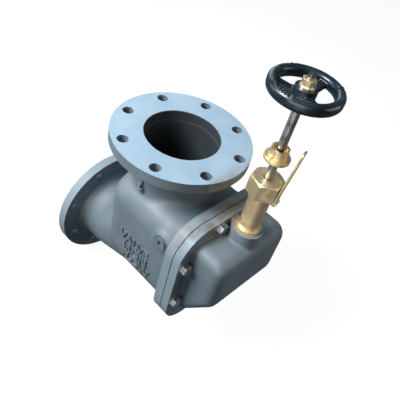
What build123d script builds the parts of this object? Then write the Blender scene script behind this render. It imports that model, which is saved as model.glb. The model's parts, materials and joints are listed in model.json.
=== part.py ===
from build123d import *
import math
import os

# Angle storm valve, DN 125: a screw-down non-return valve with a flanged inlet on top, a flanged
# outlet at the side and a bolted cover that carries the stem.
# Frame: origin at the centre of the outlet flange's face. +X runs from that face into the valve,
# +Z is up along the inlet, and the valve is symmetric about the plane y = 0.
# Lengths are millimetres and angles are degrees.

# --- Pipe ends (DN 125, drilled eight holes on a 200 circle) ---
FLANGE_R = 117.5
FLANGE_T = 18.0
FLANGE_PCD = 200.0
FLANGE_HOLES = 8
FLANGE_HOLE_R = 9.5
BORE_R = 64.0
NECK_R = 74.0
ROOT_R = 8.0
INLET_X = 164.0
INLET_FACE_Z = 286.0

# --- Body casting: a chamber of rounded-square section between the neck and the cover ---
CHAMBER_X = 100.0
CHAMBER_HALF = 92.5
CHAMBER_LOW_Z = 6.0
CHAMBER_TOP_Z = 200.0
CHAMBER_CORNER_R = 45.0
CHAMBER_END_R = 40.0
CHAMBER_WALL = 14.0
NECK_END_X = 60.0
THROAT_X = 175.0
THROAT_TOP_Z = 132.0

# --- Cover joint: body flange, gasket and cover flange share one outline ---
JOINT_X = 288.0
BODY_FLANGE_T = 16.0
COVER_FLANGE_T = 15.0
GASKET_T = 1.5
JOINT_HALF = 109.5
JOINT_LOW_Z = -2.0
JOINT_TOP_Z = 222.0
JOINT_CORNER_R = 55.0
JOINT_MID_Z = (JOINT_LOW_Z + JOINT_TOP_Z) / 2
BOLT_SHANK_R = 6.0
BOLT_HOLE_R = 6.75
BOLT_DEPTH = 13.0
BOLT_HEAD_AF = 18.0
BOLT_HEAD_T = 9.0
END_BOLT = (28.0, 99.0)
SIDE_BOLT = (94.5, 45.0)
BOLT_PLACES = [
    (across * y, JOINT_MID_Z + up * z)
    for y, z in (END_BOLT, SIDE_BOLT)
    for across in (-1, 1)
    for up in (-1, 1)
]

# --- Cover: a box with rounded edges, and the boss that takes the bonnet ---
COVER_WALL = 8.0
BOX_HALF = 83.5
BOX_FRONT_X = 366.5
BOX_TOP_Z = 199.5
BOX_LOW_Z = 32.0
BOX_FRONT_LOW_Z = 100.0
BOX_KNEE_X = 316.0
BOX_PROFILE_R = 24.0
BOX_SIDE_R = 17.0
STEM_X = 333.0
BOSS_R = 26.0
BOSS_TOP_Z = 221.0

# --- Seat: a plane that leans up towards the cover, crossed by the inlet's lower end ---
SEAT_TILT = 32.0
SEAT_CENTRE = (164.0, 0.0, 121.3)
SEAT_BORE_R = 52.0
SEAT_RING_R = 60.0
SEAT_STAND = 3.0
SEAT_PLATE_T = 14.0
DISC_ROOM_R = 65.5
DISC_ROOM_T = 18.0
INNER_TUBE_R = 73.0

# --- Flap: swings on a pin across the chamber and falls open until its tail meets the stem ---
HINGE_ALONG = 90.0
HINGE_BELOW = 13.0
PIN_R = 8.0
PIN_HALF = 90.0
BUSH_R = 11.0
BUSH_INNER_HALF = 45.0
RUNNING = 0.05
HINGE_BOSS_R = 17.5
HINGE_PAD_Y = 97.0
PLUG_T = 5.5
SWING_GAP = 0.3
DISC_R = 63.0
SEAL_R = 62.0
SEAL_BORE_R = 47.0
SEAL_T = 4.0
DISC_T = 12.0
STUD_R = 8.0
EYE_R = 17.0
SCREW_CIRCLE_R = 30.0
SCREW_HEAD_R = 5.0
SCREW_HEAD_T = 1.5
RETAINER_T = 2.0
RETAINER_LIP = 2.5
DISC_NUT_AF = 24.0
DISC_NUT_T = 10.0
ARM_T = 12.0
ARM_HALF = 11.0
HUB_R = 14.0
TAIL_LENGTH = 89.6
TAIL_NOSE_R = 7.0
TAIL_T = 9.0
TAIL_RISE = 1.0
TAIL_CLOSED = -27.0
REST_OPENING = 17.3333

# --- Stem and handwheel, drawn ten millimetres short of fully open ---
FOOT_LOW_Z = 150.6
FOOT_R = 13.5
FOOT_T = 20.0
THREAD_R = 8.0
THREAD_TOP_Z = 268.0
STEM_R = 6.25
STEM_TIP_Z = 494.0
STEM_TIP_R = 4.2
SQUARE_AF = 8.8
GROOVE_R = 6.0
FOOT_PIN_R = 1.75
WHEEL_R = 50.0
WHEEL_MID_Z = 472.3
RIM_W = 12.5
RIM_T = 16.5
HUB_LOW_Z = 459.0
HUB_TOP_Z = 476.0
WHEEL_HUB_R = 15.5
SPOKE_ANGLES = (88.0, 208.0, 328.0)
WASHER_R = 11.0
WASHER_T = 2.0
WHEEL_NUT_AF = 16.5
WHEEL_NUT_T = 9.5
SPOKE_HALF = 6.0
SPOKE_T = 7.0
SPOKE_ROOT_Z = 466.5
SPOKE_BEND_R = 20.0

# --- Bonnet and gland, in brass ---
BONNET_BASE_R = 20.5
BONNET_R = 17.0
BONNET_NECK_R = 15.2
BONNET_BASE_T = 6.0
BONNET_SHOULDER_Z = 290.0
BONNET_TOP_Z = 316.0
SPIGOT_R = 15.0
SPIGOT_LOW_Z = 196.0
BOX_BORE_R = 11.0
BOX_FLOOR_Z = 280.0
CLAMP_R = 19.5
CLAMP_T = 7.0
GLAND_NUT_TOP_Z = 326.0
GLAND_NUT_AF = 45.5
FOLLOWER_TOP_Z = 320.0
COLLAR_LOW_Z = 361.0
COLLAR_T = 5.5
COLLAR_R = 19.3
COLLAR_HUB_R = 13.5
COLLAR_TOP_Z = 380.0
COLLAR_CUP_R = 9.8
COLLAR_CUP_T = 7.0
COLLAR_SLOT_W = 5.0
COLLAR_SLOT_TURN = 25.0
COLLAR_SCREW_Z = 368.0
COLLAR_SCREW_R = 2.5
PLATE_TURN = 11.0
PLATE_FOOT_R = 23.2
PLATE_T = 2.5
PLATE_HALF = 7.5
PLATE_LEAN = 8.0
PLATE_BEND_UP = 14.0
PLATE_TOP_Z = 393.0
PLATE_SCREW_Y = 4.2
PLATE_SCREW_R = 1.5
PLATE_SCREW_HEAD_R = 2.6


# Derived directions: along the seat plane towards the hinge, and out of the seat towards the outlet.
ALONG = Vector(math.cos(math.radians(SEAT_TILT)), 0, math.sin(math.radians(SEAT_TILT)))
DOWNSTREAM = Vector(math.sin(math.radians(SEAT_TILT)), 0, -math.cos(math.radians(SEAT_TILT)))
SEAT = Location(Plane(origin=SEAT_CENTRE, x_dir=ALONG, z_dir=DOWNSTREAM))
HINGE = Vector(*SEAT_CENTRE) + ALONG * HINGE_ALONG + DOWNSTREAM * HINGE_BELOW


def rod_x(x0, x1, y, z, r):
    """A cylinder along X."""
    return Pos((x0 + x1) / 2, y, z) * Rot(0, 90, 0) * Cylinder(r, x1 - x0)


def rod_y(x, z, y0, y1, r):
    """A cylinder along Y."""
    return Pos(x, (y0 + y1) / 2, z) * Rot(90, 0, 0) * Cylinder(r, y1 - y0)


def rod_z(x, y, z0, z1, r):
    """A cylinder along Z."""
    return Pos(x, y, (z0 + z1) / 2) * Cylinder(r, z1 - z0)


def stem_rod(z0, z1, r):
    """A cylinder on the stem's axis."""
    return rod_z(STEM_X, 0, z0, z1, r)


def seat_rod(n0, n1, r, along=0.0):
    """A cylinder square to the seat plane, n0 and n1 counted downstream from the seat's face."""
    return SEAT * (Pos(along, 0, (n0 + n1) / 2) * Cylinder(r, n1 - n0))


def section(x, half, low_z, top_z, r):
    """A rounded rectangle standing across X."""
    plane = Plane(origin=(x, 0, (low_z + top_z) / 2), x_dir=(0, 1, 0), z_dir=(1, 0, 0))
    return plane * RectangleRounded(2 * half, top_z - low_z, r)


def bar(x0, x1, half, low_z, top_z, r):
    """A bar along X with a rounded rectangular section."""
    return extrude(section(x0, half, low_z, top_z, r), amount=x1 - x0)


def disc_section(x, r):
    """A round section across X on the outlet's axis."""
    return Plane(origin=(x, 0, 0), x_dir=(0, 1, 0), z_dir=(1, 0, 0)) * Circle(r)


def flange_holes():
    """The eight bolt holes, straddling the centre line, along Z at the origin."""
    half_step = 180 / FLANGE_HOLES
    holes = [
        Rot(0, 0, half_step + 2 * half_step * k) * Pos(FLANGE_PCD / 2, 0, 0) * Cylinder(FLANGE_HOLE_R, 3 * FLANGE_T)
        for k in range(FLANGE_HOLES)
    ]
    return Part() + holes


def pipe_end(length):
    """A flange and its neck along -Z from the face at z = 0, with a root radius between them."""
    root = ROOT_R
    with BuildPart() as end:
        with BuildSketch(Plane.XZ):
            with BuildLine():
                Polyline(
                    (NECK_R, -FLANGE_T - root),
                    (NECK_R, -length),
                    (0, -length),
                    (0, 0),
                    (FLANGE_R, 0),
                    (FLANGE_R, -FLANGE_T),
                    (NECK_R + root, -FLANGE_T),
                )
                RadiusArc((NECK_R + root, -FLANGE_T), (NECK_R, -FLANGE_T - root), root)
            make_face()
        revolve(axis=Axis.Z)
    return end.part


def to_outlet(shape):
    """Turn a pipe end made along -Z so that its face looks along -X at the origin."""
    return Rot(0, -90, 0) * shape


def to_inlet(shape):
    """Lift a pipe end made along -Z to the inlet's face."""
    return Pos(INLET_X, 0, INLET_FACE_Z) * shape


def chamber_shape(inset):
    """The chamber with its far end rounded, shrunk by inset on every side."""
    shape = bar(
        CHAMBER_X + inset,
        JOINT_X,
        CHAMBER_HALF - inset,
        CHAMBER_LOW_Z + inset,
        CHAMBER_TOP_Z - inset,
        CHAMBER_CORNER_R - inset,
    )
    end_edges = shape.edges().group_by(Axis.X)[0]
    return fillet(end_edges, CHAMBER_END_R - inset)


def throat_shape(pipe_r, inset):
    """The passage that widens from the round neck into the lower half of the chamber."""
    start = disc_section(NECK_END_X, pipe_r)
    end = section(
        THROAT_X,
        CHAMBER_HALF - inset - 1,
        CHAMBER_LOW_Z + inset + 0.5,
        THROAT_TOP_Z - inset,
        CHAMBER_CORNER_R - inset,
    )
    return loft([start, end], ruled=True)


def seat_side(shape, below):
    """The part of a shape upstream of a plane that lies `below` downstream of the seat's face."""
    big = 400.0
    keep = SEAT * (Pos(0, 0, below - big / 2) * Box(2 * big, 2 * big, big))
    return shape & keep


def joint_outline(x0, x1, trim=0.0):
    """The plate shared by the body flange, the gasket and the cover flange."""
    return bar(x0, x1, JOINT_HALF - trim, JOINT_LOW_Z + trim, JOINT_TOP_Z - trim, JOINT_CORNER_R - trim)


def bolt_rods(x0, x1, r):
    """One rod at each cover bolt."""
    return [rod_x(x0, x1, y, z, r) for y, z in BOLT_PLACES]


def hexagon(af, z0, z1, turn=0.0):
    """A hexagonal bar along Z at the origin, af across its flats."""
    flat = RegularPolygon(af / 2, 6, major_radius=False)
    return Pos(0, 0, z0) * Rot(0, 0, turn) * extrude(flat, amount=z1 - z0)


def chamfered_nut(af, z0, z1, turn=0.0):
    """A hexagon whose top corners are turned down to a cone."""
    corner = af / math.sqrt(3)
    drop = (corner - af / 2) * 0.9
    cone = Pos(0, 0, z1 - drop / 2) * Cone(corner, af / 2 * 0.98, drop)
    below = Pos(0, 0, (z0 + z1 - drop) / 2) * Cylinder(corner, z1 - drop - z0)
    return hexagon(af, z0, z1, turn) & (below + cone)


def make_valve_body():
    """The iron casting: two pipe ends, throat, chamber, seat plate, hinge bosses, cover flange."""
    outlet = to_outlet(pipe_end(NECK_END_X))
    inlet = to_inlet(pipe_end(INLET_FACE_Z - CHAMBER_TOP_Z + 40))
    branch = seat_side(rod_z(INLET_X, 0, 0, 200, NECK_R), -SEAT_STAND)
    outer = outlet + throat_shape(NECK_R, 0.0) + chamber_shape(0.0) + branch + inlet
    outer += joint_outline(JOINT_X - BODY_FLANGE_T, JOINT_X)
    for side in (-1, 1):
        outer += rod_y(HINGE.X, HINGE.Z, *sorted((side * 60, side * HINGE_PAD_Y)), HINGE_BOSS_R)
    tube = seat_side(rod_z(INLET_X, 0, 0, 220, INNER_TUBE_R), -SEAT_STAND)
    cavity = chamber_shape(CHAMBER_WALL) + throat_shape(BORE_R, CHAMBER_WALL)
    cavity += rod_x(-1, NECK_END_X + 1, 0, 0, BORE_R)
    cavity -= tube
    for side in (-1, 1):
        cavity -= rod_y(HINGE.X, HINGE.Z, *sorted((side * BUSH_INNER_HALF, side * HINGE_PAD_Y)), HINGE_BOSS_R)
    inlet_bore = seat_side(rod_z(INLET_X, 0, 0, INLET_FACE_Z + 1, BORE_R), -SEAT_STAND - SEAT_PLATE_T)
    casting = outer - cavity - inlet_bore
    casting -= seat_rod(-SEAT_STAND - 2 * SEAT_PLATE_T, 1, SEAT_RING_R)
    casting -= seat_rod(-SEAT_STAND, DISC_ROOM_T, DISC_ROOM_R)
    casting -= rod_y(HINGE.X, HINGE.Z, -HINGE_PAD_Y - 1, HINGE_PAD_Y + 1, BUSH_R)
    casting -= to_outlet(flange_holes())
    casting -= to_inlet(flange_holes())
    casting -= Part() + bolt_rods(JOINT_X - BOLT_DEPTH, JOINT_X + 1, BOLT_SHANK_R)
    return casting


def make_seat_ring():
    """Bronze ring pressed into the seat plate, standing a little proud of it."""
    ring = seat_rod(-SEAT_STAND - SEAT_PLATE_T + 2, 0, SEAT_RING_R)
    return ring - seat_rod(-40, 1, SEAT_BORE_R)


def make_hinge_bushes():
    """Two bronze bushes for the hinge pin."""
    bushes = Part()
    for side in (-1, 1):
        ends = sorted((side * BUSH_INNER_HALF, side * (HINGE_PAD_Y - PLUG_T - 1)))
        bushes += rod_y(HINGE.X, HINGE.Z, *ends, BUSH_R) - rod_y(HINGE.X, HINGE.Z, *ends, PIN_R + RUNNING)
    return bushes


def make_hinge_plugs():
    """Two screwed plugs with hexagon sockets that close the hinge bores."""
    plugs = Part()
    socket = hexagon(10.0, 0, 4)
    for side in (-1, 1):
        outer_y = side * HINGE_PAD_Y
        plug = rod_y(HINGE.X, HINGE.Z, *sorted((outer_y, outer_y - side * PLUG_T)), BUSH_R)
        plugs += plug - Pos(HINGE.X, outer_y, HINGE.Z) * Rot(90 * side, 0, 0) * socket
    return plugs


def opened(shape):
    """Turn a flap piece from closed to the position it is drawn in."""
    return shape.rotate(Axis(HINGE, (0, -1, 0)), REST_OPENING)


def make_flap_disc():
    """Round disc with a recess for its seal, a centre spigot and a stud on its back."""
    face = SWING_GAP + SEAL_T - 1.5
    disc = seat_rod(face, face + DISC_T, DISC_R)
    disc = fillet(disc.edges().filter_by(GeomType.CIRCLE), 2.0)
    groove = seat_rod(face - 1, SWING_GAP + SEAL_T, SEAL_R) - seat_rod(face - 2, 20, SEAL_BORE_R)
    boss = seat_rod(face + DISC_T - 1, SWING_GAP + SEAL_T + DISC_T, EYE_R)
    stud = seat_rod(face + DISC_T, SWING_GAP + SEAL_T + DISC_T + ARM_T + 13.6, STUD_R)
    return opened(disc - groove + boss + stud)


def make_flap_seal():
    """Flat rubber ring that meets the seat."""
    return opened(seat_rod(SWING_GAP, SWING_GAP + SEAL_T, SEAL_R) - seat_rod(0, 20, SEAL_BORE_R))


def make_seal_retainer():
    """Round plate that holds the seal's inner edge."""
    face = SWING_GAP + SEAL_T - 1.5
    plate = seat_rod(SWING_GAP - RETAINER_T, SWING_GAP, SEAL_BORE_R + RETAINER_LIP)
    core = seat_rod(SWING_GAP, face, SEAL_BORE_R)
    return opened(plate + core)


def make_retainer_screws():
    """The low heads of the four screws that hold the retainer."""
    screws = Part()
    for k in range(4):
        turn = Rot(0, 0, 45 + 90 * k)
        middle = SWING_GAP - RETAINER_T - SCREW_HEAD_T / 2
        screws += SEAT * (turn * Pos(SCREW_CIRCLE_R, 0, middle) * Cylinder(SCREW_HEAD_R, SCREW_HEAD_T))
    return opened(screws)


def make_disc_nut():
    """Nut that keeps the disc's stud in the arm's eye."""
    low = SWING_GAP + SEAL_T + DISC_T + ARM_T + 0.6
    nut = SEAT * hexagon(DISC_NUT_AF, low, low + DISC_NUT_T) - seat_rod(low - 1, low + DISC_NUT_T + 1, STUD_R)
    return opened(nut)


def make_flap_arm():
    """Lever with an eye for the disc, a long hub on the pin, and a tail under the stem."""
    low = SWING_GAP + SEAL_T + DISC_T + SWING_GAP
    middle = low + ARM_T / 2
    eye = seat_rod(low, low + ARM_T, EYE_R)
    beam = SEAT * (Pos(HINGE_ALONG / 2, 0, middle) * Box(HINGE_ALONG, 2 * ARM_HALF, ARM_T))
    hub = rod_y(HINGE.X, HINGE.Z, -BUSH_INNER_HALF + 0.5, BUSH_INNER_HALF - 0.5, HUB_R)
    tail_dir = Rot(0, -TAIL_CLOSED, 0)
    tail = Pos(TAIL_LENGTH / 2, 0, TAIL_RISE - TAIL_T / 2) * Box(TAIL_LENGTH, 2 * ARM_HALF, TAIL_T)
    nose = Pos(TAIL_LENGTH, 0, 0) * Rot(90, 0, 0) * Cylinder(TAIL_NOSE_R, 2 * ARM_HALF)
    lever = Pos(HINGE) * tail_dir * (tail + nose)
    arm = eye + beam + hub + lever
    arm -= rod_y(HINGE.X, HINGE.Z, -PIN_HALF, PIN_HALF, PIN_R)
    arm -= seat_rod(0, 60, STUD_R + RUNNING)
    return opened(arm)


def make_hinge_pin():
    """Steel pin, fixed in the arm's hub and turning in the bushes."""
    return rod_y(HINGE.X, HINGE.Z, -PIN_HALF, PIN_HALF, PIN_R)


def make_cover_gasket():
    """Flat gasket between body and cover."""
    opening = bar(
        JOINT_X - 1,
        JOINT_X + 5,
        CHAMBER_HALF - CHAMBER_WALL,
        CHAMBER_LOW_Z + CHAMBER_WALL,
        CHAMBER_TOP_Z - CHAMBER_WALL,
        CHAMBER_CORNER_R - CHAMBER_WALL,
    )
    sheet = joint_outline(JOINT_X, JOINT_X + GASKET_T, 0.8) - opening
    return sheet - (Part() + bolt_rods(JOINT_X - 1, JOINT_X + 3, BOLT_HOLE_R))


def cover_box(inset, back_x):
    """The cover's rounded box, shrunk by inset, from back_x to its front."""
    front = BOX_FRONT_X - inset
    low = BOX_LOW_Z + inset
    top = BOX_TOP_Z - inset
    outline = make_face(
        Polyline(
            (back_x, 0, low),
            (BOX_KNEE_X - inset * 0.4, 0, low),
            (front, 0, BOX_FRONT_LOW_Z + inset * 0.4),
            (front, 0, top),
            (back_x, 0, top),
            close=True,
        )
    )
    front_corners = outline.vertices().filter_by(lambda v: v.X > back_x + 1)
    outline = fillet(front_corners, BOX_PROFILE_R - inset)
    block = extrude(outline, amount=BOX_HALF - inset, dir=(0, 1, 0), both=True)
    side_edges = block.edges().filter_by(
        lambda e: abs(abs(e.center().Y) - (BOX_HALF - inset)) < 0.01 and e.center().X > back_x + 0.1
    )
    return fillet(side_edges, BOX_SIDE_R - inset)


def make_cover():
    """Cast cover: flange, hollow box and the boss for the bonnet."""
    face = JOINT_X + GASKET_T
    cover = joint_outline(face, face + COVER_FLANGE_T)
    cover += cover_box(0.0, face + 1)
    cover += stem_rod(BOX_TOP_Z - 40, BOSS_TOP_Z, BOSS_R)
    cover -= cover_box(COVER_WALL, face - 1)
    cover -= stem_rod(BOX_TOP_Z - COVER_WALL - 60, BOX_TOP_Z - COVER_WALL, FOOT_R + 1.2)
    cover -= stem_rod(SPIGOT_LOW_Z - 20, BOSS_TOP_Z + 1, SPIGOT_R)
    return cover - (Part() + bolt_rods(face - 1, face + COVER_FLANGE_T + 1, BOLT_HOLE_R))


def make_cover_bolts():
    """Eight hexagon-head bolts."""
    head_x = JOINT_X + GASKET_T + COVER_FLANGE_T
    bolts = Part()
    for y, z in BOLT_PLACES:
        head = Pos(head_x, y, z) * Rot(0, 90, 0) * chamfered_nut(BOLT_HEAD_AF, 0, BOLT_HEAD_T, 90)
        bolts += head + rod_x(JOINT_X - BOLT_DEPTH + 1, head_x, y, z, BOLT_SHANK_R)
    return bolts


def make_bonnet():
    """Brass bonnet: screwed spigot, base ring, tube with the stem's nut thread, stuffing box."""
    base_top = BOSS_TOP_Z + BONNET_BASE_T
    bonnet = stem_rod(SPIGOT_LOW_Z, BOSS_TOP_Z, SPIGOT_R)
    bonnet += stem_rod(BOSS_TOP_Z, base_top, BONNET_BASE_R)
    bonnet += stem_rod(base_top, BONNET_SHOULDER_Z, BONNET_R)
    bonnet += stem_rod(BONNET_SHOULDER_Z, BONNET_TOP_Z, BONNET_NECK_R)
    bonnet -= stem_rod(SPIGOT_LOW_Z - 1, BOX_FLOOR_Z, THREAD_R + RUNNING)
    return bonnet - stem_rod(BOX_FLOOR_Z, BONNET_TOP_Z + 1, BOX_BORE_R)


def make_gland_packing():
    """Four square rings of packing round the stem."""
    rings = Part()
    for k in range(4):
        low = BOX_FLOOR_Z + 5.0 * k
        rings += stem_rod(low + 0.1, low + 4.9, BOX_BORE_R) - stem_rod(low, low + 5, STEM_R + RUNNING)
    return rings


def make_gland_follower():
    """Flanged sleeve that presses on the packing."""
    follower = stem_rod(BOX_FLOOR_Z + 20, BONNET_TOP_Z + 1, BOX_BORE_R - 0.1)
    follower += stem_rod(BONNET_TOP_Z + 1, FOLLOWER_TOP_Z, BONNET_NECK_R - 1)
    return follower - stem_rod(BOX_FLOOR_Z, FOLLOWER_TOP_Z + 1, STEM_R + 0.1)


def make_gland_nut():
    """Hexagon cap nut that draws the follower down."""
    low = BONNET_SHOULDER_Z + CLAMP_T
    nut = Pos(STEM_X, 0, 0) * chamfered_nut(GLAND_NUT_AF, low, GLAND_NUT_TOP_Z, PLATE_TURN + 30)
    nut -= stem_rod(low - 1, FOLLOWER_TOP_Z, BONNET_NECK_R)
    return nut - stem_rod(FOLLOWER_TOP_Z - 1, GLAND_NUT_TOP_Z + 1, STEM_R + 0.75)


def on_plate_side(shape):
    """Turn a piece made on the +X side of the stem to the side that the indicator stands on."""
    return Pos(STEM_X, 0, 0) * Rot(0, 0, PLATE_TURN) * shape


def plate_screw_rods(r0, r1, r):
    """Two short rods through the indicator's foot, at radii r0 to r1 from the stem, before it is turned."""
    middle_z = BONNET_SHOULDER_Z + CLAMP_T / 2
    return [rod_x(r0, r1, side * PLATE_SCREW_Y, middle_z, r) for side in (-1, 1)]


def make_indicator_clamp():
    """Ring held under the gland nut, with a flat for the indicator plate."""
    middle = Pos(0, 0, BONNET_SHOULDER_Z + CLAMP_T / 2)
    pad = Pos(PLATE_FOOT_R / 2, 0, 0) * Box(PLATE_FOOT_R, 2 * PLATE_HALF, CLAMP_T)
    ring = middle * (Cylinder(CLAMP_R, CLAMP_T) + pad - Cylinder(BONNET_NECK_R, 2 * CLAMP_T))
    ring -= Part() + plate_screw_rods(BONNET_NECK_R, PLATE_FOOT_R + 1, PLATE_SCREW_R)
    return on_plate_side(ring)


def make_indicator_plate():
    """Bent brass strip whose marks the collar travels past."""
    foot = PLATE_FOOT_R
    low = BONNET_SHOULDER_Z - 1
    bend = low + PLATE_BEND_UP
    profile = make_face(
        Polyline(
            (foot, 0, low),
            (foot + PLATE_T, 0, low),
            (foot + PLATE_T, 0, bend),
            (foot + PLATE_T + PLATE_LEAN, 0, PLATE_TOP_Z),
            (foot + PLATE_LEAN, 0, PLATE_TOP_Z),
            (foot, 0, bend),
            close=True,
        )
    )
    plate = extrude(profile, amount=PLATE_HALF, dir=(0, 1, 0), both=True)
    plate -= Part() + plate_screw_rods(foot - 1, foot + PLATE_T + 1, PLATE_SCREW_R)
    top_edges = plate.edges().filter_by(Axis.X, tolerance=3).sort_by(Axis.Z)[-2:]
    return on_plate_side(fillet(top_edges, PLATE_HALF * 0.6))


def make_indicator_screws():
    """Two small round-head screws."""
    outer = PLATE_FOOT_R + PLATE_T
    shanks = plate_screw_rods(PLATE_FOOT_R - 4, outer, PLATE_SCREW_R)
    heads = plate_screw_rods(outer, outer + 2, PLATE_SCREW_HEAD_R)
    return on_plate_side(Part() + shanks + heads)


def make_stem():
    """Steel stem: button end, threaded length, plain length, square and screwed tip."""
    low = FOOT_LOW_Z + 6.3
    stem = stem_rod(low, THREAD_TOP_Z, THREAD_R)
    stem += stem_rod(THREAD_TOP_Z, HUB_LOW_Z, STEM_R)
    square = Pos(STEM_X, 0, (HUB_LOW_Z + HUB_TOP_Z) / 2) * Box(SQUARE_AF, SQUARE_AF, HUB_TOP_Z - HUB_LOW_Z)
    stem += square
    stem += stem_rod(HUB_TOP_Z, STEM_TIP_Z, STEM_TIP_R)
    groove = stem_rod(FOOT_LOW_Z + 10, FOOT_LOW_Z + 15, THREAD_R + 1)
    groove -= stem_rod(FOOT_LOW_Z + 9, FOOT_LOW_Z + 16, GROOVE_R)
    return stem - groove


def make_thrust_foot():
    """Cup that swivels on the stem's end and presses the arm's tail."""
    foot = stem_rod(FOOT_LOW_Z, FOOT_LOW_Z + FOOT_T, FOOT_R)
    foot -= stem_rod(FOOT_LOW_Z + 6, FOOT_LOW_Z + FOOT_T + 1, THREAD_R + RUNNING)
    return foot - make_foot_pins(0.0, FOOT_R + 1)


def make_foot_pins(gap=0.0, half=11.0):
    """Two pins across the cup that run in the stem's groove."""
    pins = Part()
    for side in (-1, 1):
        x = STEM_X + side * (GROOVE_R + FOOT_PIN_R + 0.1)
        pins += rod_y(x, FOOT_LOW_Z + 12.5, -half, half, FOOT_PIN_R + gap)
    return pins


def make_indicator_collar():
    """Brass collar set on the stem: its flange is the pointer, and its hub is a slotted cup."""
    collar = stem_rod(COLLAR_LOW_Z, COLLAR_LOW_Z + COLLAR_T, COLLAR_R)
    collar = fillet(collar.edges().filter_by(GeomType.CIRCLE), 1.0)
    collar += stem_rod(COLLAR_LOW_Z + COLLAR_T / 2, COLLAR_TOP_Z, COLLAR_HUB_R)
    collar -= stem_rod(COLLAR_LOW_Z - 1, COLLAR_TOP_Z + 1, STEM_R)
    collar -= stem_rod(COLLAR_TOP_Z - COLLAR_CUP_T, COLLAR_TOP_Z + 1, COLLAR_CUP_R)
    slot = Box(3 * COLLAR_R, COLLAR_SLOT_W, COLLAR_CUP_T)
    collar -= Pos(STEM_X, 0, COLLAR_TOP_Z - COLLAR_CUP_T / 2) * Rot(0, 0, COLLAR_SLOT_TURN) * slot
    return collar - rod_y(STEM_X, COLLAR_SCREW_Z, -COLLAR_R, 0, COLLAR_SCREW_R)


def make_collar_screw():
    """Set screw of the collar."""
    outer_y = -COLLAR_HUB_R + 0.4
    screw = rod_y(STEM_X, COLLAR_SCREW_Z, outer_y, -STEM_R - 0.1, COLLAR_SCREW_R)
    socket = Pos(STEM_X, outer_y, COLLAR_SCREW_Z) * Rot(-90, 0, 0) * hexagon(COLLAR_SCREW_R, -0.5, 2)
    return screw - socket


def make_handwheel():
    """Round wheel with three dished spokes and a hub with a square hole."""
    rim_r = WHEEL_R - RIM_W / 2
    ring = Plane.XZ * Pos(rim_r, WHEEL_MID_Z) * RectangleRounded(RIM_W, RIM_T, 5.5)
    wheel = revolve(ring, Axis.Z)
    wheel += Pos(0, 0, (HUB_LOW_Z + HUB_TOP_Z) / 2) * Cylinder(WHEEL_HUB_R, HUB_TOP_Z - HUB_LOW_Z)
    spoke_line = [(SQUARE_AF, SPOKE_ROOT_Z), (SPOKE_BEND_R, SPOKE_ROOT_Z), (rim_r, WHEEL_MID_Z - 1)]
    for angle in SPOKE_ANGLES:
        flat = make_face(
            Polyline(
                *[(x, 0, z + SPOKE_T / 2) for x, z in spoke_line],
                *[(x, 0, z - SPOKE_T / 2) for x, z in reversed(spoke_line)],
                close=True,
            )
        )
        spoke = extrude(flat, amount=SPOKE_HALF, dir=(0, 1, 0), both=True)
        wheel += Rot(0, 0, angle) * spoke
    wheel -= Pos(0, 0, (HUB_LOW_Z + HUB_TOP_Z) / 2) * Box(SQUARE_AF, SQUARE_AF, 60)
    return Pos(STEM_X, 0, 0) * wheel


def make_handwheel_washer():
    """Washer between the hub and its nut."""
    return stem_rod(HUB_TOP_Z, HUB_TOP_Z + WASHER_T, WASHER_R) - stem_rod(HUB_TOP_Z - 1, HUB_TOP_Z + 4, STEM_TIP_R)


def make_handwheel_nut():
    """Brass nut that holds the handwheel."""
    low = HUB_TOP_Z + WASHER_T
    nut = Pos(STEM_X, 0, 0) * chamfered_nut(WHEEL_NUT_AF, low, low + WHEEL_NUT_T, 10)
    return nut - stem_rod(low - 1, low + WHEEL_NUT_T + 1, STEM_TIP_R)


NODES = {
    "valve_body": make_valve_body,
    "seat_ring": make_seat_ring,
    "hinge_bushes": make_hinge_bushes,
    "hinge_plugs": make_hinge_plugs,
    "flap_disc": make_flap_disc,
    "flap_seal": make_flap_seal,
    "seal_retainer": make_seal_retainer,
    "retainer_screws": make_retainer_screws,
    "disc_nut": make_disc_nut,
    "flap_arm": make_flap_arm,
    "hinge_pin": make_hinge_pin,
    "cover_gasket": make_cover_gasket,
    "cover": make_cover,
    "cover_bolts": make_cover_bolts,
    "bonnet": make_bonnet,
    "gland_packing": make_gland_packing,
    "gland_follower": make_gland_follower,
    "gland_nut": make_gland_nut,
    "indicator_clamp": make_indicator_clamp,
    "indicator_plate": make_indicator_plate,
    "indicator_screws": make_indicator_screws,
    "thrust_foot": make_thrust_foot,
    "foot_pins": make_foot_pins,
    "stem": make_stem,
    "indicator_collar": make_indicator_collar,
    "collar_screw": make_collar_screw,
    "handwheel": make_handwheel,
    "handwheel_washer": make_handwheel_washer,
    "handwheel_nut": make_handwheel_nut,
}


def main():
    os.makedirs("parts", exist_ok=True)
    for name, make in NODES.items():
        export_step(make(), f"parts/{name}.step")


main()
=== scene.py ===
import bmesh
import bpy
import json
import math
import numpy as np
from mathutils import Matrix, Vector


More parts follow.
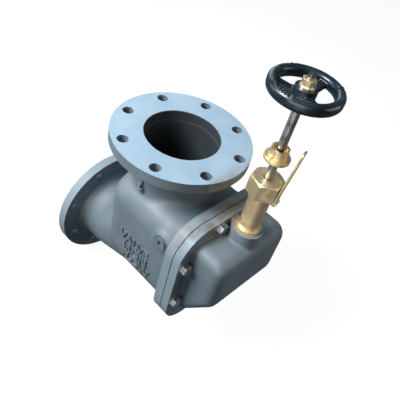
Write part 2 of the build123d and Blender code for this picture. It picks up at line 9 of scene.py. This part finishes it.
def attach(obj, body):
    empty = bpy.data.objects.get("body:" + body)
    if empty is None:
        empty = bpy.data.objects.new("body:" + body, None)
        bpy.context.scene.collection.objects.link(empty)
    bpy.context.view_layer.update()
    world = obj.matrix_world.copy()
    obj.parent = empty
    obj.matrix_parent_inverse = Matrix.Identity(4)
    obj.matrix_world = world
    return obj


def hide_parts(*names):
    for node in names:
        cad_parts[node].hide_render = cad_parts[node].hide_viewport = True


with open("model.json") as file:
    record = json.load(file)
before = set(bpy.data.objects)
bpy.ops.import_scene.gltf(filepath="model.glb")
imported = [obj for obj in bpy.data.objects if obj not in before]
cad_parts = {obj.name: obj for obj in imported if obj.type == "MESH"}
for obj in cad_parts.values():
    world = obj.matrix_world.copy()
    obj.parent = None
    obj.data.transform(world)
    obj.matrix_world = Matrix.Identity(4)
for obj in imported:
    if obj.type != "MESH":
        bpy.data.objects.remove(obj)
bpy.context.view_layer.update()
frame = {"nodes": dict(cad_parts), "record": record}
nodes = frame["nodes"]

# Measures of the frame, in metres, as the CAD model has them.
FLANGE_T = 0.018
INLET_X = 0.164
INLET_FACE_Z = 0.286
BORE_R = 0.064
JOINT_X = 0.288
BODY_FLANGE_T = 0.016
COVER_FACE_X = 0.2895
COVER_FLANGE_T = 0.015
COVER_FLANGE_X = COVER_FACE_X + COVER_FLANGE_T
JOINT_TOP_Z = 0.222
CHAMBER_HALF = 0.0925
HINGE_X = 0.24721
HINGE_Z = 0.15797
STEM_X = 0.333
BOSS_TOP_Z = 0.221
WHEEL_TOP_Z = 0.48055
RIM_MID_R = 0.04375

# The two castings' voxels and rounds of smoothing, and how far the skin lies inside the sharp flanges.
BODY_VOXEL = 0.0024
BODY_ROUNDS = 26
COVER_VOXEL = 0.0018
COVER_ROUNDS = 9
SKIN_DEPTH = 0.0005

# The skin is held still up to a short way past each flange, and moves freely from its fillet on.
HELD_PAST = 0.0006
BODY_FILLET = 0.007
JOINT_FILLET = 0.004

# Further than any part of the valve reaches.
FAR = 0.5

# Raised marks: each row of words with its X and Z on the chamber's side, and the arrow on the neck.
BODY_ROWS = (("VALVE", 0.190, 0.098), ("IRON", 0.196, 0.076), ("FLOW", 0.200, 0.055))
BODY_LETTER = 0.0255
BODY_RELIEF = 0.0028
ARROW_AT = (INLET_X, -0.0765, 0.212)
ARROW_LEAN = math.radians(-18)
ARROW_LENGTH = 0.026
ARROW_WIDTH = 0.015
ARROW_RELIEF = 0.003

# The handwheel's words, by the angle of their middle on the rim, and its arrows, by angle and own turn.
WHEEL_VOXEL = 0.0006
WHEEL_WORDS = (("OPEN", 35.0), ("SHUT", 265.0))
WHEEL_ARROWS = ((150.0, 0.0), (175.0, 180.0))
LETTER_STEP = 11.0
WHEEL_LETTER = 0.0092
WHEEL_ARROW_LENGTH = 0.014
WHEEL_ARROW_WIDTH = 0.007
WHEEL_RELIEF = 0.0012
WHEEL_ROUNDS = 4

FLOOR_Z = -0.1175
FLOOR_HALF = 30.0

# ---------------------------------------------------------------- camera, floor, lights

CAMERA_AT = (0.5616, -0.4960, 0.7542)
LOOK_AT = (0.2328, 0.0, 0.1932)
CAMERA_ROLL = math.radians(16.9)
LENS_MM = 43.7


def link(name, data):
    """A new object in the scene."""
    thing = bpy.data.objects.new(name, data)
    bpy.context.scene.collection.objects.link(thing)
    return thing


def add_camera():
    """The viewing angle: high on the cover's side, with the camera rolled."""
    data = bpy.data.cameras.new("camera")
    data.lens = LENS_MM
    data.sensor_width = 36.0
    camera = link("camera", data)
    look = (Vector(LOOK_AT) - Vector(CAMERA_AT)).to_track_quat("-Z", "Y").to_matrix().to_4x4()
    camera.matrix_world = Matrix.Translation(CAMERA_AT) @ look @ Matrix.Rotation(CAMERA_ROLL, 4, "Z")
    bpy.context.scene.camera = camera


def add_area(name, at, target, size, watts, colour, gloss_only=False):
    """A soft square lamp that points from one place to another, or a card that only shows in reflections."""
    data = bpy.data.lights.new(name, "AREA")
    data.energy = watts
    data.size = size
    data.color = colour
    lamp = link(name, data)
    lamp.location = at
    lamp.rotation_euler = (Vector(target) - Vector(at)).to_track_quat("-Z", "Y").to_euler()
    lamp.visible_diffuse = not gloss_only


# ---------------------------------------------------------------- node helpers


class Shader:
    """Builds one node material, with short calls for the nodes that the finishes use."""

    def __init__(self, name, **constants):
        self.material = bpy.data.materials.new(name)
        self.material.use_nodes = True
        self.tree = self.material.node_tree
        self.surface = self.tree.nodes["Principled BSDF"]
        for socket, value in constants.items():
            self.surface.inputs[socket.replace("_", " ")].default_value = value
        self.place = self.tree.nodes.new("ShaderNodeTexCoord").outputs["Object"]

    def wire(self, source, socket):
        """Links a node's output to the socket, or sets the socket to a number or a colour."""
        if hasattr(source, "links"):
            self.tree.links.new(source, socket)
        else:
            socket.default_value = source

    def noise(self, scale, detail=4.0, stretch=(1, 1, 1), rough=0.55):
        """Fractal noise over the piece, as a number about 0.5."""
        spread = self.tree.nodes.new("ShaderNodeMapping")
        spread.inputs["Scale"].default_value = stretch
        self.tree.links.new(self.place, spread.inputs["Vector"])
        node = self.tree.nodes.new("ShaderNodeTexNoise")
        node.inputs["Scale"].default_value = scale
        node.inputs["Detail"].default_value = detail
        node.inputs["Roughness"].default_value = rough
        self.tree.links.new(spread.outputs["Vector"], node.inputs["Vector"])
        return node.outputs["Fac"]

    def steps(self, source, low, high, out_low=0.0, out_high=1.0):
        """Source mapped from low..high to out_low..out_high, and held there beyond."""
        node = self.tree.nodes.new("ShaderNodeMapRange")
        node.interpolation_type = "SMOOTHSTEP"
        for socket, value in zip(node.inputs[:5], (source, low, high, out_low, out_high)):
            self.wire(value, socket)
        return node.outputs["Result"]

    def math(self, operation, a, b=0.0):
        node = self.tree.nodes.new("ShaderNodeMath")
        node.operation = operation
        self.wire(a, node.inputs[0])
        self.wire(b, node.inputs[1])
        return node.outputs["Value"]

    def mix(self, factor, a, b):
        """Colour a where factor is 0 and colour b where it is 1."""
        node = self.tree.nodes.new("ShaderNodeMix")
        node.data_type = "RGBA"
        self.wire(factor, node.inputs["Factor"])
        for value, socket in ((a, node.inputs[6]), (b, node.inputs[7])):
            self.wire((*value, 1.0) if isinstance(value, tuple) else value, socket)
        return node.outputs[2]

    def axes(self):
        """The piece's own X, Y and Z as numbers."""
        node = self.tree.nodes.new("ShaderNodeSeparateXYZ")
        self.tree.links.new(self.place, node.inputs["Vector"])
        return node.outputs["X"], node.outputs["Y"], node.outputs["Z"]

    def reach(self, a, a0, b, b0):
        """Distance from the line where a is a0 and b is b0."""
        across = self.math("POWER", self.math("SUBTRACT", a, a0), 2.0)
        along = self.math("POWER", self.math("SUBTRACT", b, b0), 2.0)
        return self.math("SQRT", self.math("ADD", across, along))

    def bump(self, *layers):
        """Bumps laid over each other, each given as its height, its strength and its depth in metres."""
        normal = None
        for height, strength, depth in layers:
            node = self.tree.nodes.new("ShaderNodeBump")
            node.inputs["Strength"].default_value = strength
            node.inputs["Distance"].default_value = depth
            self.wire(height, node.inputs["Height"])
            if normal is not None:
                self.tree.links.new(normal, node.inputs["Normal"])
            normal = node.outputs["Normal"]
        self.tree.links.new(normal, self.surface.inputs["Normal"])

    def finish(self, colour=None, rough=None, metal=None):
        """Sets what the surface needs, and returns the material."""
        for value, socket in ((colour, "Base Color"), (rough, "Roughness"), (metal, "Metallic")):
            if value is not None:
                self.wire(value, self.surface.inputs[socket])
        return self.material


# ---------------------------------------------------------------- finishes


def grey_paint():
    """Satin blue-grey paint over sand-cast iron, with painted light: the flanges and flange faces are painted
    paler as if lit, and painted shade darkens the inside of the passages.
    """
    s = Shader("grey_paint", Specular_IOR_Level=0.5)
    x, y, z = s.axes()
    cloud = s.steps(s.noise(16.0, 5.0), 0.32, 0.68)
    colour = s.mix(cloud, (0.145, 0.192, 0.226), (0.186, 0.240, 0.276))
    dust = s.steps(s.noise(140.0, 3.0), 0.60, 0.78, 0.0, 0.30)
    colour = s.mix(dust, colour, (0.27, 0.32, 0.35))
    # Painted highlight: the body's joint flange, the cover's flange and the outlet flange get a paler colour
    # that stands in for the light falling on them.
    joint_back = JOINT_X - BODY_FLANGE_T
    lit_flanges = s.steps(x, joint_back, joint_back + 0.0006)
    lit_flanges = s.math("MULTIPLY", lit_flanges, s.steps(x, COVER_FLANGE_X - 0.0007, COVER_FLANGE_X - 0.0002, 1.0, 0.0))
    lit_flanges = s.math("MAXIMUM", lit_flanges, s.steps(x, FLANGE_T - 0.0012, FLANGE_T - 0.0006, 1.0, 0.0))
    colour = s.mix(s.math("MULTIPLY", lit_flanges, 0.9), colour, (0.270, 0.355, 0.415))
    # Painted light: the inlet face and the outlet face get a much paler blue that stands in for the light on
    # them; the paint there is the same as elsewhere.
    inlet_face = s.steps(z, INLET_FACE_Z - 0.0004, INLET_FACE_Z - 0.0001)
    painted_lit_faces = s.math("MAXIMUM", inlet_face, s.steps(x, 0.0001, 0.0004, 1.0, 0.0))
    lit_face_colour = s.mix(s.steps(s.noise(22.0, 5.0), 0.3, 0.7), (0.325, 0.475, 0.600), (0.390, 0.535, 0.650))
    colour = s.mix(painted_lit_faces, colour, lit_face_colour)
    warm = s.math("MULTIPLY", s.steps(s.noise(34.0, 5.0), 0.38, 0.62), s.steps(z, 0.165, 0.225))
    from_joint = s.math("ABSOLUTE", s.math("SUBTRACT", x, 0.298))
    warm = s.math("MULTIPLY", warm, s.steps(from_joint, 0.0, 0.045, 1.0, 0.0))
    colour = s.mix(s.math("MULTIPLY", warm, 0.85), colour, (0.22, 0.165, 0.115))
    specks = s.steps(s.noise(420.0, 2.0), 0.70, 0.76, 0.0, 0.6)
    colour = s.mix(specks, colour, (0.10, 0.10, 0.10))
    # Painted shade: inside the inlet and outlet bores the colour is made nearly black in place of the shade
    # that falls there. The same mask also makes these places rougher.
    inlet_shade_mask = s.steps(s.reach(x, INLET_X, y, 0.0), BORE_R, BORE_R + 0.001, 1.0, 0.0)
    inlet_shade_mask = s.math("MULTIPLY", inlet_shade_mask, s.steps(z, INLET_FACE_Z - 0.0025, INLET_FACE_Z - 0.001, 1.0, 0.0))
    inlet_shade_mask = s.math("MULTIPLY", inlet_shade_mask, s.steps(z, 0.08, 0.09))
    outlet_shade_mask = s.steps(s.reach(y, 0.0, z, 0.0), BORE_R, BORE_R + 0.001, 1.0, 0.0)
    outlet_shade_mask = s.math("MULTIPLY", outlet_shade_mask, s.steps(x, 0.001, 0.003))
    outlet_shade_mask = s.math("MULTIPLY", outlet_shade_mask, s.steps(x, 0.070, 0.085, 1.0, 0.0))
    passage_shade = s.math("MAXIMUM", inlet_shade_mask, outlet_shade_mask)
    colour = s.mix(s.math("MULTIPLY", passage_shade, 0.9), colour, (0.012, 0.017, 0.020))
    rough = s.steps(s.noise(60.0, 4.0), 0.3, 0.7, 0.44, 0.60)
    rough = s.math("ADD", rough, s.math("MULTIPLY", passage_shade, 0.2))
    s.bump(
        (s.noise(55.0, 3.0), 0.45, 0.0009),
        (s.noise(420.0, 4.0), 0.30, 0.00035),
        (s.noise(1300.0, 2.0), 0.22, 0.00012),
    )
    return s.finish(colour, rough)


def brass(name="brass", tone=(0.93, 0.75, 0.45), dull=(0.74, 0.57, 0.32), low=0.40, high=0.54):
    """Turned brass: fine lathe lines round the stem's axis and a patchy tarnish."""
    s = Shader(name, Metallic=1.0)
    patch = s.steps(s.noise(70.0, 5.0), 0.45, 0.72)
    colour = s.mix(s.math("MULTIPLY", patch, 0.55), tone, dull)
    streak = s.steps(s.noise(26.0, 4.0, (1, 1, 90)), 0.35, 0.65)
    colour = s.mix(s.math("MULTIPLY", streak, 0.22), colour, (0.93, 0.80, 0.55))
    rough = s.math("ADD", s.steps(patch, 0.0, 1.0, low, high), s.math("MULTIPLY", streak, 0.06))
    s.bump((s.noise(26.0, 4.0, (1, 1, 130)), 0.35, 0.00012), (s.noise(240.0, 3.0), 0.25, 0.0002))
    return s.finish(colour, rough)


def bronze():
    """Machined bronze, browner and duller than the brass."""
    return brass("bronze", (0.60, 0.42, 0.22), (0.30, 0.20, 0.11), 0.30, 0.50)


def stem_steel():
    """Ground steel bar with circumferential marks, a little grease and dull patches."""
    s = Shader("stem_steel", Metallic=1.0)
    patch = s.steps(s.noise(55.0, 5.0, (1, 1, 0.5)), 0.42, 0.70)
    colour = s.mix(patch, (0.34, 0.35, 0.335), (0.17, 0.175, 0.165))
    rings = s.noise(18.0, 4.0, (1, 1, 160))
    colour = s.mix(s.steps(rings, 0.45, 0.65, 0.0, 0.35), colour, (0.60, 0.60, 0.58))
    rough = s.steps(s.noise(120.0, 3.0), 0.3, 0.7, 0.27, 0.45)
    s.bump((rings, 0.5, 0.00015), (s.noise(500.0, 3.0), 0.25, 0.0001))
    return s.finish(colour, rough)


def zinc_steel():
    """Bright zinc plate with a cloudy bloom."""
    s = Shader("zinc_steel", Metallic=1.0)
    bloom = s.steps(s.noise(180.0, 5.0), 0.40, 0.68)
    colour = s.mix(bloom, (0.74, 0.76, 0.78), (0.46, 0.47, 0.47))
    stain = s.steps(s.noise(420.0, 3.0), 0.62, 0.76, 0.0, 0.6)
    colour = s.mix(stain, colour, (0.30, 0.25, 0.18))
    rough = s.steps(bloom, 0.0, 1.0, 0.26, 0.48)
    s.bump((s.noise(900.0, 3.0), 0.3, 0.0001))
    return s.finish(colour, rough)


def plug_steel():
    """Painted steel plugs, rubbed to the metal round their sockets."""
    s = Shader("plug_steel")
    x, _, z = s.axes()
    patch = s.steps(s.noise(150.0, 4.0), 0.50, 0.70)
    ring = s.steps(s.reach(x, HINGE_X, z, HINGE_Z), 0.0055, 0.0078, 1.0, 0.0)
    bare = s.math("MULTIPLY", s.math("MULTIPLY", patch, ring), 0.5)
    colour = s.mix(bare, (0.165, 0.215, 0.25), (0.30, 0.31, 0.31))
    rough = s.steps(s.noise(90.0, 3.0), 0.3, 0.7, 0.36, 0.50)
    s.bump((s.noise(600.0, 3.0), 0.3, 0.00015))
    return s.finish(colour, rough, bare)


def bare_iron():
    """Dark primed casting for the flap's lever."""
    s = Shader("bare_iron", Metallic=0.35)
    colour = s.mix(s.steps(s.noise(60.0, 5.0), 0.35, 0.65), (0.055, 0.057, 0.060), (0.12, 0.105, 0.09))
    rough = s.steps(s.noise(140.0, 3.0), 0.3, 0.7, 0.5, 0.75)
    s.bump((s.noise(380.0, 4.0), 0.5, 0.0004))
    return s.finish(colour, rough)


def fibre(name, dark, light, grain):
    """Pressed fibre, moulded rubber or plaited packing, by its two tones and its grain."""
    s = Shader(name, Specular_IOR_Level=0.3)
    colour = s.mix(s.steps(s.noise(grain, 5.0), 0.35, 0.65), dark, light)
    rough = s.steps(s.noise(grain * 0.4, 3.0), 0.3, 0.7, 0.62, 0.85)
    s.bump((s.noise(grain * 1.6, 4.0), 0.5, 0.0003))
    return s.finish(colour, rough)


def wheel_enamel():
    """Glossy blue-black stoving enamel over a rough casting, with a few pale chips."""
    s = Shader("wheel_enamel", Specular_IOR_Level=0.5, Coat_Weight=0.25, Coat_Roughness=0.22)
    tone = s.steps(s.noise(45.0, 4.0), 0.35, 0.65)
    colour = s.mix(tone, (0.004, 0.012, 0.019), (0.011, 0.030, 0.044))
    chips = s.steps(s.noise(260.0, 4.0), 0.70, 0.74)
    colour = s.mix(chips, colour, (0.06, 0.08, 0.09))
    rough = s.steps(s.noise(80.0, 4.0), 0.3, 0.7, 0.20, 0.36)
    s.bump((s.noise(95.0, 3.0), 0.45, 0.0007), (s.noise(520.0, 3.0), 0.25, 0.0002))
    return s.finish(colour, rough)


def floor_finish():
    """Pale matt studio floor, lit from itself so that it stays white."""
    s = Shader("studio_floor", Specular_IOR_Level=0.0, Emission_Color=(1, 1, 1, 1), Emission_Strength=0.93)
    colour = s.mix(s.steps(s.noise(3.0, 3.0), 0.3, 0.7), (0.13, 0.13, 0.13), (0.15, 0.15, 0.15))
    return s.finish(colour, 0.9)


FINISHES = {
    "grey_paint": grey_paint(),
    "bronze": bronze(),
    "brass": brass(),
    "plug_steel": plug_steel(),
    "zinc_steel": zinc_steel(),
    "stem_steel": stem_steel(),
    "bare_iron": bare_iron(),
    "gasket": fibre("gasket", (0.010, 0.010, 0.011), (0.030, 0.030, 0.030), 300.0),
    "packing": fibre("packing", (0.12, 0.11, 0.09), (0.26, 0.24, 0.20), 500.0),
    "rubber": fibre("rubber", (0.012, 0.012, 0.012), (0.026, 0.026, 0.026), 220.0),
    "wheel_enamel": wheel_enamel(),
}


def paint_nodes():
    """Gives every CAD node the finish of its slot."""
    for row in frame["record"]["subparts"]:
        mesh = nodes[row["node"]].data
        mesh.materials.clear()
        mesh.materials.append(FINISHES[row["material_slot"]])


# ---------------------------------------------------------------- castings


def copy_of(node):
    """A new object with a welded copy of a CAD node's mesh."""
    mesh = nodes[node].data.copy()
    work = bmesh.new()
    work.from_mesh(mesh)
    bmesh.ops.remove_doubles(work, verts=work.verts, dist=1e-6)
    work.to_mesh(mesh)
    work.free()
    return link("work_" + node, mesh)


def block(low, high):
    """A box as a new object, to cut with."""
    work = bmesh.new()
    bmesh.ops.create_cube(work, size=1.0)
    for vert in work.verts:
        vert.co = Vector(a + (b - a) * (c + 0.5) for a, b, c in zip(low, high, vert.co))
    mesh = bpy.data.meshes.new("block")
    work.to_mesh(mesh)
    work.free()
    return link("block", mesh)


def baked(thing):
    """The object's mesh with its modifiers applied. The object itself goes."""
    graph = bpy.context.evaluated_depsgraph_get()
    mesh = bpy.data.meshes.new_from_object(thing.evaluated_get(graph))
    bpy.data.objects.remove(thing)
    return mesh


def cut(thing, other, operation):
    """The mesh of a thing met, joined or cut with another. Both objects go."""
    knife = thing.modifiers.new("cut", "BOOLEAN")
    knife.operation = operation
    knife.object = other
    knife.solver = "EXACT"
    mesh = baked(thing)
    bpy.data.objects.remove(other)
    return mesh


def remeshed(thing, voxel):
    """The thing's mesh rebuilt from even squares of one size."""
    skin = thing.modifiers.new("voxels", "REMESH")
    skin.mode = "VOXEL"
    skin.voxel_size = voxel
    return baked(thing)


def softened(mesh, rounds, keep):
    """Smooths a mesh in place. keep(places) gives 0 where it moves freely and 1 where it stays."""
    count = len(mesh.vertices)
    places = np.empty(count * 3)
    mesh.vertices.foreach_get("co", places)
    places = places.reshape(count, 3)
    ends = np.empty(len(mesh.edges) * 2, dtype=np.int64)
    mesh.edges.foreach_get("vertices", ends)
    first, last = ends.reshape(-1, 2).T
    degree = np.bincount(np.concatenate((first, last)), minlength=count)[:, None]
    pull = 0.5 * (1.0 - keep(places))[:, None]
    for _ in range(rounds):
        middle = np.zeros_like(places)
        for k in range(3):
            middle[:, k] = np.bincount(first, places[last, k], count)
            middle[:, k] += np.bincount(last, places[first, k], count)
        places = places + pull * (middle / degree - places)
    mesh.vertices.foreach_set("co", places.ravel())
    mesh.update()


def sunk(mesh, depth, where):
    """Moves a mesh's surface inwards by depth where where(places) is 1."""
    count = len(mesh.vertices)
    places = np.empty(count * 3)
    normals = np.empty(count * 3)
    mesh.vertices.foreach_get("co", places)
    mesh.vertex_normals.foreach_get("vector", normals)
    places = places.reshape(count, 3)
    places = places - depth * where(places)[:, None] * normals.reshape(count, 3)
    mesh.vertices.foreach_set("co", places.ravel())
    mesh.update()


def ramp(values, low, high):
    """0 below low, 1 above high, straight between."""
    return np.clip((values - low) / (high - low), 0.0, 1.0)


def joined(name, *meshes):
    """One object from several meshes that lie in each other."""
    work = bmesh.new()
    for mesh in meshes:
        work.from_mesh(mesh)
    bmesh.ops.triangulate(work, faces=[face for face in work.faces if len(face.verts) > 4])
    bmesh.ops.recalc_face_normals(work, faces=work.faces)
    mesh = bpy.data.meshes.new(name)
    work.to_mesh(mesh)
    work.free()
    mesh.polygons.foreach_set("use_smooth", [True] * len(mesh.polygons))
    mesh.set_sharp_from_angle(angle=math.radians(30))
    return link(name, mesh)


def finished(thing, slot, body):
    """Gives a new piece its finish and the body that it rides on."""
    thing.data.materials.clear()
    thing.data.materials.append(FINISHES[slot])
    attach(thing, body)


def cast_piece(name, node, voxel, rounds, zones, keep):
    """A casting with soft edges and root fillets, whose machined zones stay as sharp as the CAD has them."""
    sharp = [cut(copy_of(node), block(low, high), "INTERSECT") for low, high in zones]
    skin = remeshed(copy_of(node), voxel)
    softened(skin, rounds, keep)
    sunk(skin, SKIN_DEPTH, keep)
    piece = joined(name, skin, *sharp)
    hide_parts(node)
    finished(piece, "grey_paint", "casing")


def body_keep(p):
    """1 in the body's three machined flanges, 0 a fillet's width away."""
    inlet_back = INLET_FACE_Z - FLANGE_T
    joint_back = JOINT_X - BODY_FLANGE_T
    outlet = 1.0 - ramp(p[:, 0], FLANGE_T + HELD_PAST, FLANGE_T + BODY_FILLET)
    inlet = ramp(p[:, 2], inlet_back - BODY_FILLET, inlet_back - HELD_PAST)
    joint = ramp(p[:, 0], joint_back - JOINT_FILLET, joint_back - HELD_PAST)
    joint = joint * (p[:, 2] < JOINT_TOP_Z + 0.01)
    return np.maximum(np.maximum(outlet, inlet), joint)


def cover_keep(p):
    """1 in the cover's flange and at the top of its boss, 0 elsewhere."""
    flange = 1.0 - ramp(p[:, 0], COVER_FLANGE_X + HELD_PAST, COVER_FLANGE_X + JOINT_FILLET)
    boss = ramp(p[:, 2], BOSS_TOP_Z - 0.006, BOSS_TOP_Z - 0.002)
    return np.maximum(flange, boss)


def make_castings():
    """The body and the cover. Their zones are boxes, by low and high corner, that keep the CAD's shape."""
    body_zones = [
        ((-0.01, -FAR, -FAR), (FLANGE_T, FAR, FAR)),
        ((-0.01, -FAR, INLET_FACE_Z - FLANGE_T), (FAR, FAR, FAR)),
        ((JOINT_X - BODY_FLANGE_T, -FAR, -FAR), (FAR, FAR, JOINT_TOP_Z + 0.01)),
    ]
    cover_zones = [
        ((COVER_FACE_X - 0.01, -FAR, -FAR), (COVER_FLANGE_X, FAR, FAR)),
        ((COVER_FLANGE_X + 0.001, -FAR, BOSS_TOP_Z - 0.004), (FAR, FAR, FAR)),
    ]
    cast_piece("cast_body", "valve_body", BODY_VOXEL, BODY_ROUNDS, body_zones, body_keep)
    cast_piece("cast_cover", "cover", COVER_VOXEL, COVER_ROUNDS, cover_zones, cover_keep)


# ---------------------------------------------------------------- raised marks


def raised_text(words, size, depth, place, bold=0.0):
    """Generic words as a solid, standing on a place given as a matrix."""
    curve = bpy.data.curves.new("words", "FONT")
    curve.body = words
    curve.size = size
    curve.extrude = depth
    curve.offset = bold
    curve.align_x = "CENTER"
    curve.align_y = "CENTER"
    curve.resolution_u = 3
    mesh = baked(link("words", curve))
    mesh.transform(place)
    return mesh


def arrow(length, width, depth, place):
    """A flat arrow that points along the place's Y."""
    outline = [
        (-width / 6, -length / 2),
        (width / 6, -length / 2),
        (width / 6, length / 6),
        (width / 2, length / 6),
        (0, length / 2),
        (-width / 2, length / 6),
        (-width / 6, length / 6),
    ]
    work = bmesh.new()
    face = work.faces.new([work.verts.new((x, y, -depth)) for x, y in outline])
    tops = bmesh.ops.extrude_face_region(work, geom=[face])["geom"]
    for vert in tops:
        if isinstance(vert, bmesh.types.BMVert):
            vert.co.z = depth
    bmesh.ops.recalc_face_normals(work, faces=work.faces)
    mesh = bpy.data.meshes.new("arrow")
    work.to_mesh(mesh)
    work.free()
    mesh.transform(place)
    return mesh


def make_body_marks():
    """Three rows of raised generic words on the chamber's -Y side, and an arrow down the inlet's neck."""
    side = Matrix.Rotation(math.radians(90), 4, "X")
    parts = []
    for words, x, z in BODY_ROWS:
        place = Matrix.Translation((x, -CHAMBER_HALF, z)) @ side
        parts.append(raised_text(words, BODY_LETTER, BODY_RELIEF, place, 0.0005))
    lean = Matrix.Rotation(ARROW_LEAN, 4, "X")
    down = Matrix.Rotation(math.radians(180), 4, "Z")
    place = Matrix.Translation(ARROW_AT) @ lean @ side @ down
    parts.append(arrow(ARROW_LENGTH, ARROW_WIDTH, ARROW_RELIEF, place))
    piece = joined("cast_marks", *parts)
    finished(piece, "grey_paint", "casing")


def rim_place(degrees):
    """The middle of the rim's upper side, at an angle round the stem, with X pointing outwards."""
    centre = Matrix.Translation((STEM_X, 0, WHEEL_TOP_Z - 0.0003))
    return centre @ Matrix.Rotation(math.radians(degrees), 4, "Z") @ Matrix.Translation((RIM_MID_R, 0, 0))


def make_wheel():
    """The handwheel with raised generic words and arrows on its rim, melted into the casting."""
    parts = [baked(copy_of("handwheel"))]
    upright = Matrix.Rotation(math.radians(-90), 4, "Z")
    for words, middle in WHEEL_WORDS:
        for k, letter in enumerate(words):
            place = rim_place(middle - LETTER_STEP * (k - 1.5)) @ upright
            parts.append(raised_text(letter, WHEEL_LETTER, WHEEL_RELIEF, place, 0.0002))
    for angle, turn in WHEEL_ARROWS:
        place = rim_place(angle) @ Matrix.Rotation(math.radians(turn), 4, "Z")
        parts.append(arrow(WHEEL_ARROW_LENGTH, WHEEL_ARROW_WIDTH, WHEEL_RELIEF, place))
    mesh = remeshed(joined("work_wheel", *parts), WHEEL_VOXEL)
    softened(mesh, WHEEL_ROUNDS, lambda p: np.zeros(len(p)))
    piece = joined("cast_handwheel", mesh)
    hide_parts("handwheel")
    finished(piece, "wheel_enamel", "stem")


# ---------------------------------------------------------------- the scene


def add_studio():
    """White surroundings, a large soft key from above, two weak fills, and three cards for reflections."""
    world = bpy.data.worlds.new("studio")
    world.use_nodes = True
    tree = world.node_tree
    seen = tree.nodes["Background"]
    seen.inputs["Color"].default_value = (1, 1, 1, 1)
    seen.inputs["Strength"].default_value = 1.0
    ambient = tree.nodes.new("ShaderNodeBackground")
    ambient.inputs["Color"].default_value = (0.86, 0.93, 1.0, 1)
    ambient.inputs["Strength"].default_value = 0.10
    path = tree.nodes.new("ShaderNodeLightPath")
    either = tree.nodes.new("ShaderNodeMixShader")
    tree.links.new(path.outputs["Is Camera Ray"], either.inputs["Fac"])
    tree.links.new(ambient.outputs["Background"], either.inputs[1])
    tree.links.new(seen.outputs["Background"], either.inputs[2])
    tree.links.new(either.outputs["Shader"], tree.nodes["World Output"].inputs["Surface"])
    bpy.context.scene.world = world
    bpy.context.scene.view_settings.view_transform = "Standard"
    middle = (0.2, 0.0, 0.15)
    add_area("key", (-0.38, -1.05, 1.32), middle, 0.7, 38.5, (0.97, 0.985, 1.0))
    add_area("back", (-0.7, 0.7, 0.9), middle, 0.8, 4.0, (0.80, 0.91, 1.0))
    add_area("front", (1.2, 0.55, 0.6), (0.33, 0.0, 0.2), 0.8, 3.6, (1.0, 0.97, 0.93))
    add_area("card", (0.75, -1.3, 0.45), (0.33, 0.0, 0.3), 1.3, 17.0, (1.0, 0.97, 0.92), gloss_only=True)
    add_area("side", (-0.9, -0.9, 0.5), (0.33, 0.0, 0.3), 1.2, 9.0, (0.95, 0.97, 1.0), gloss_only=True)
    add_area("sky", (0.3, -0.1, 1.9), (0.3, 0.0, 0.4), 1.4, 4.0, (0.50, 0.78, 1.0), gloss_only=True)


def add_floor():
    """A wide plane at the outlet flange's lowest point. It lights nothing and shows in no reflection."""
    mesh = bpy.data.meshes.new("studio_floor")
    corners = [(FLOOR_HALF * a, FLOOR_HALF * b, FLOOR_Z) for a, b in ((-1, -1), (1, -1), (1, 1), (-1, 1))]
    mesh.from_pydata(corners, [], [(0, 1, 2, 3)])
    floor = link("studio_floor", mesh)
    mesh.materials.append(floor_finish())
    floor.visible_diffuse = False
    floor.visible_glossy = False


add_camera()
add_studio()
add_floor()
paint_nodes()
make_castings()
make_body_marks()
make_wheel()
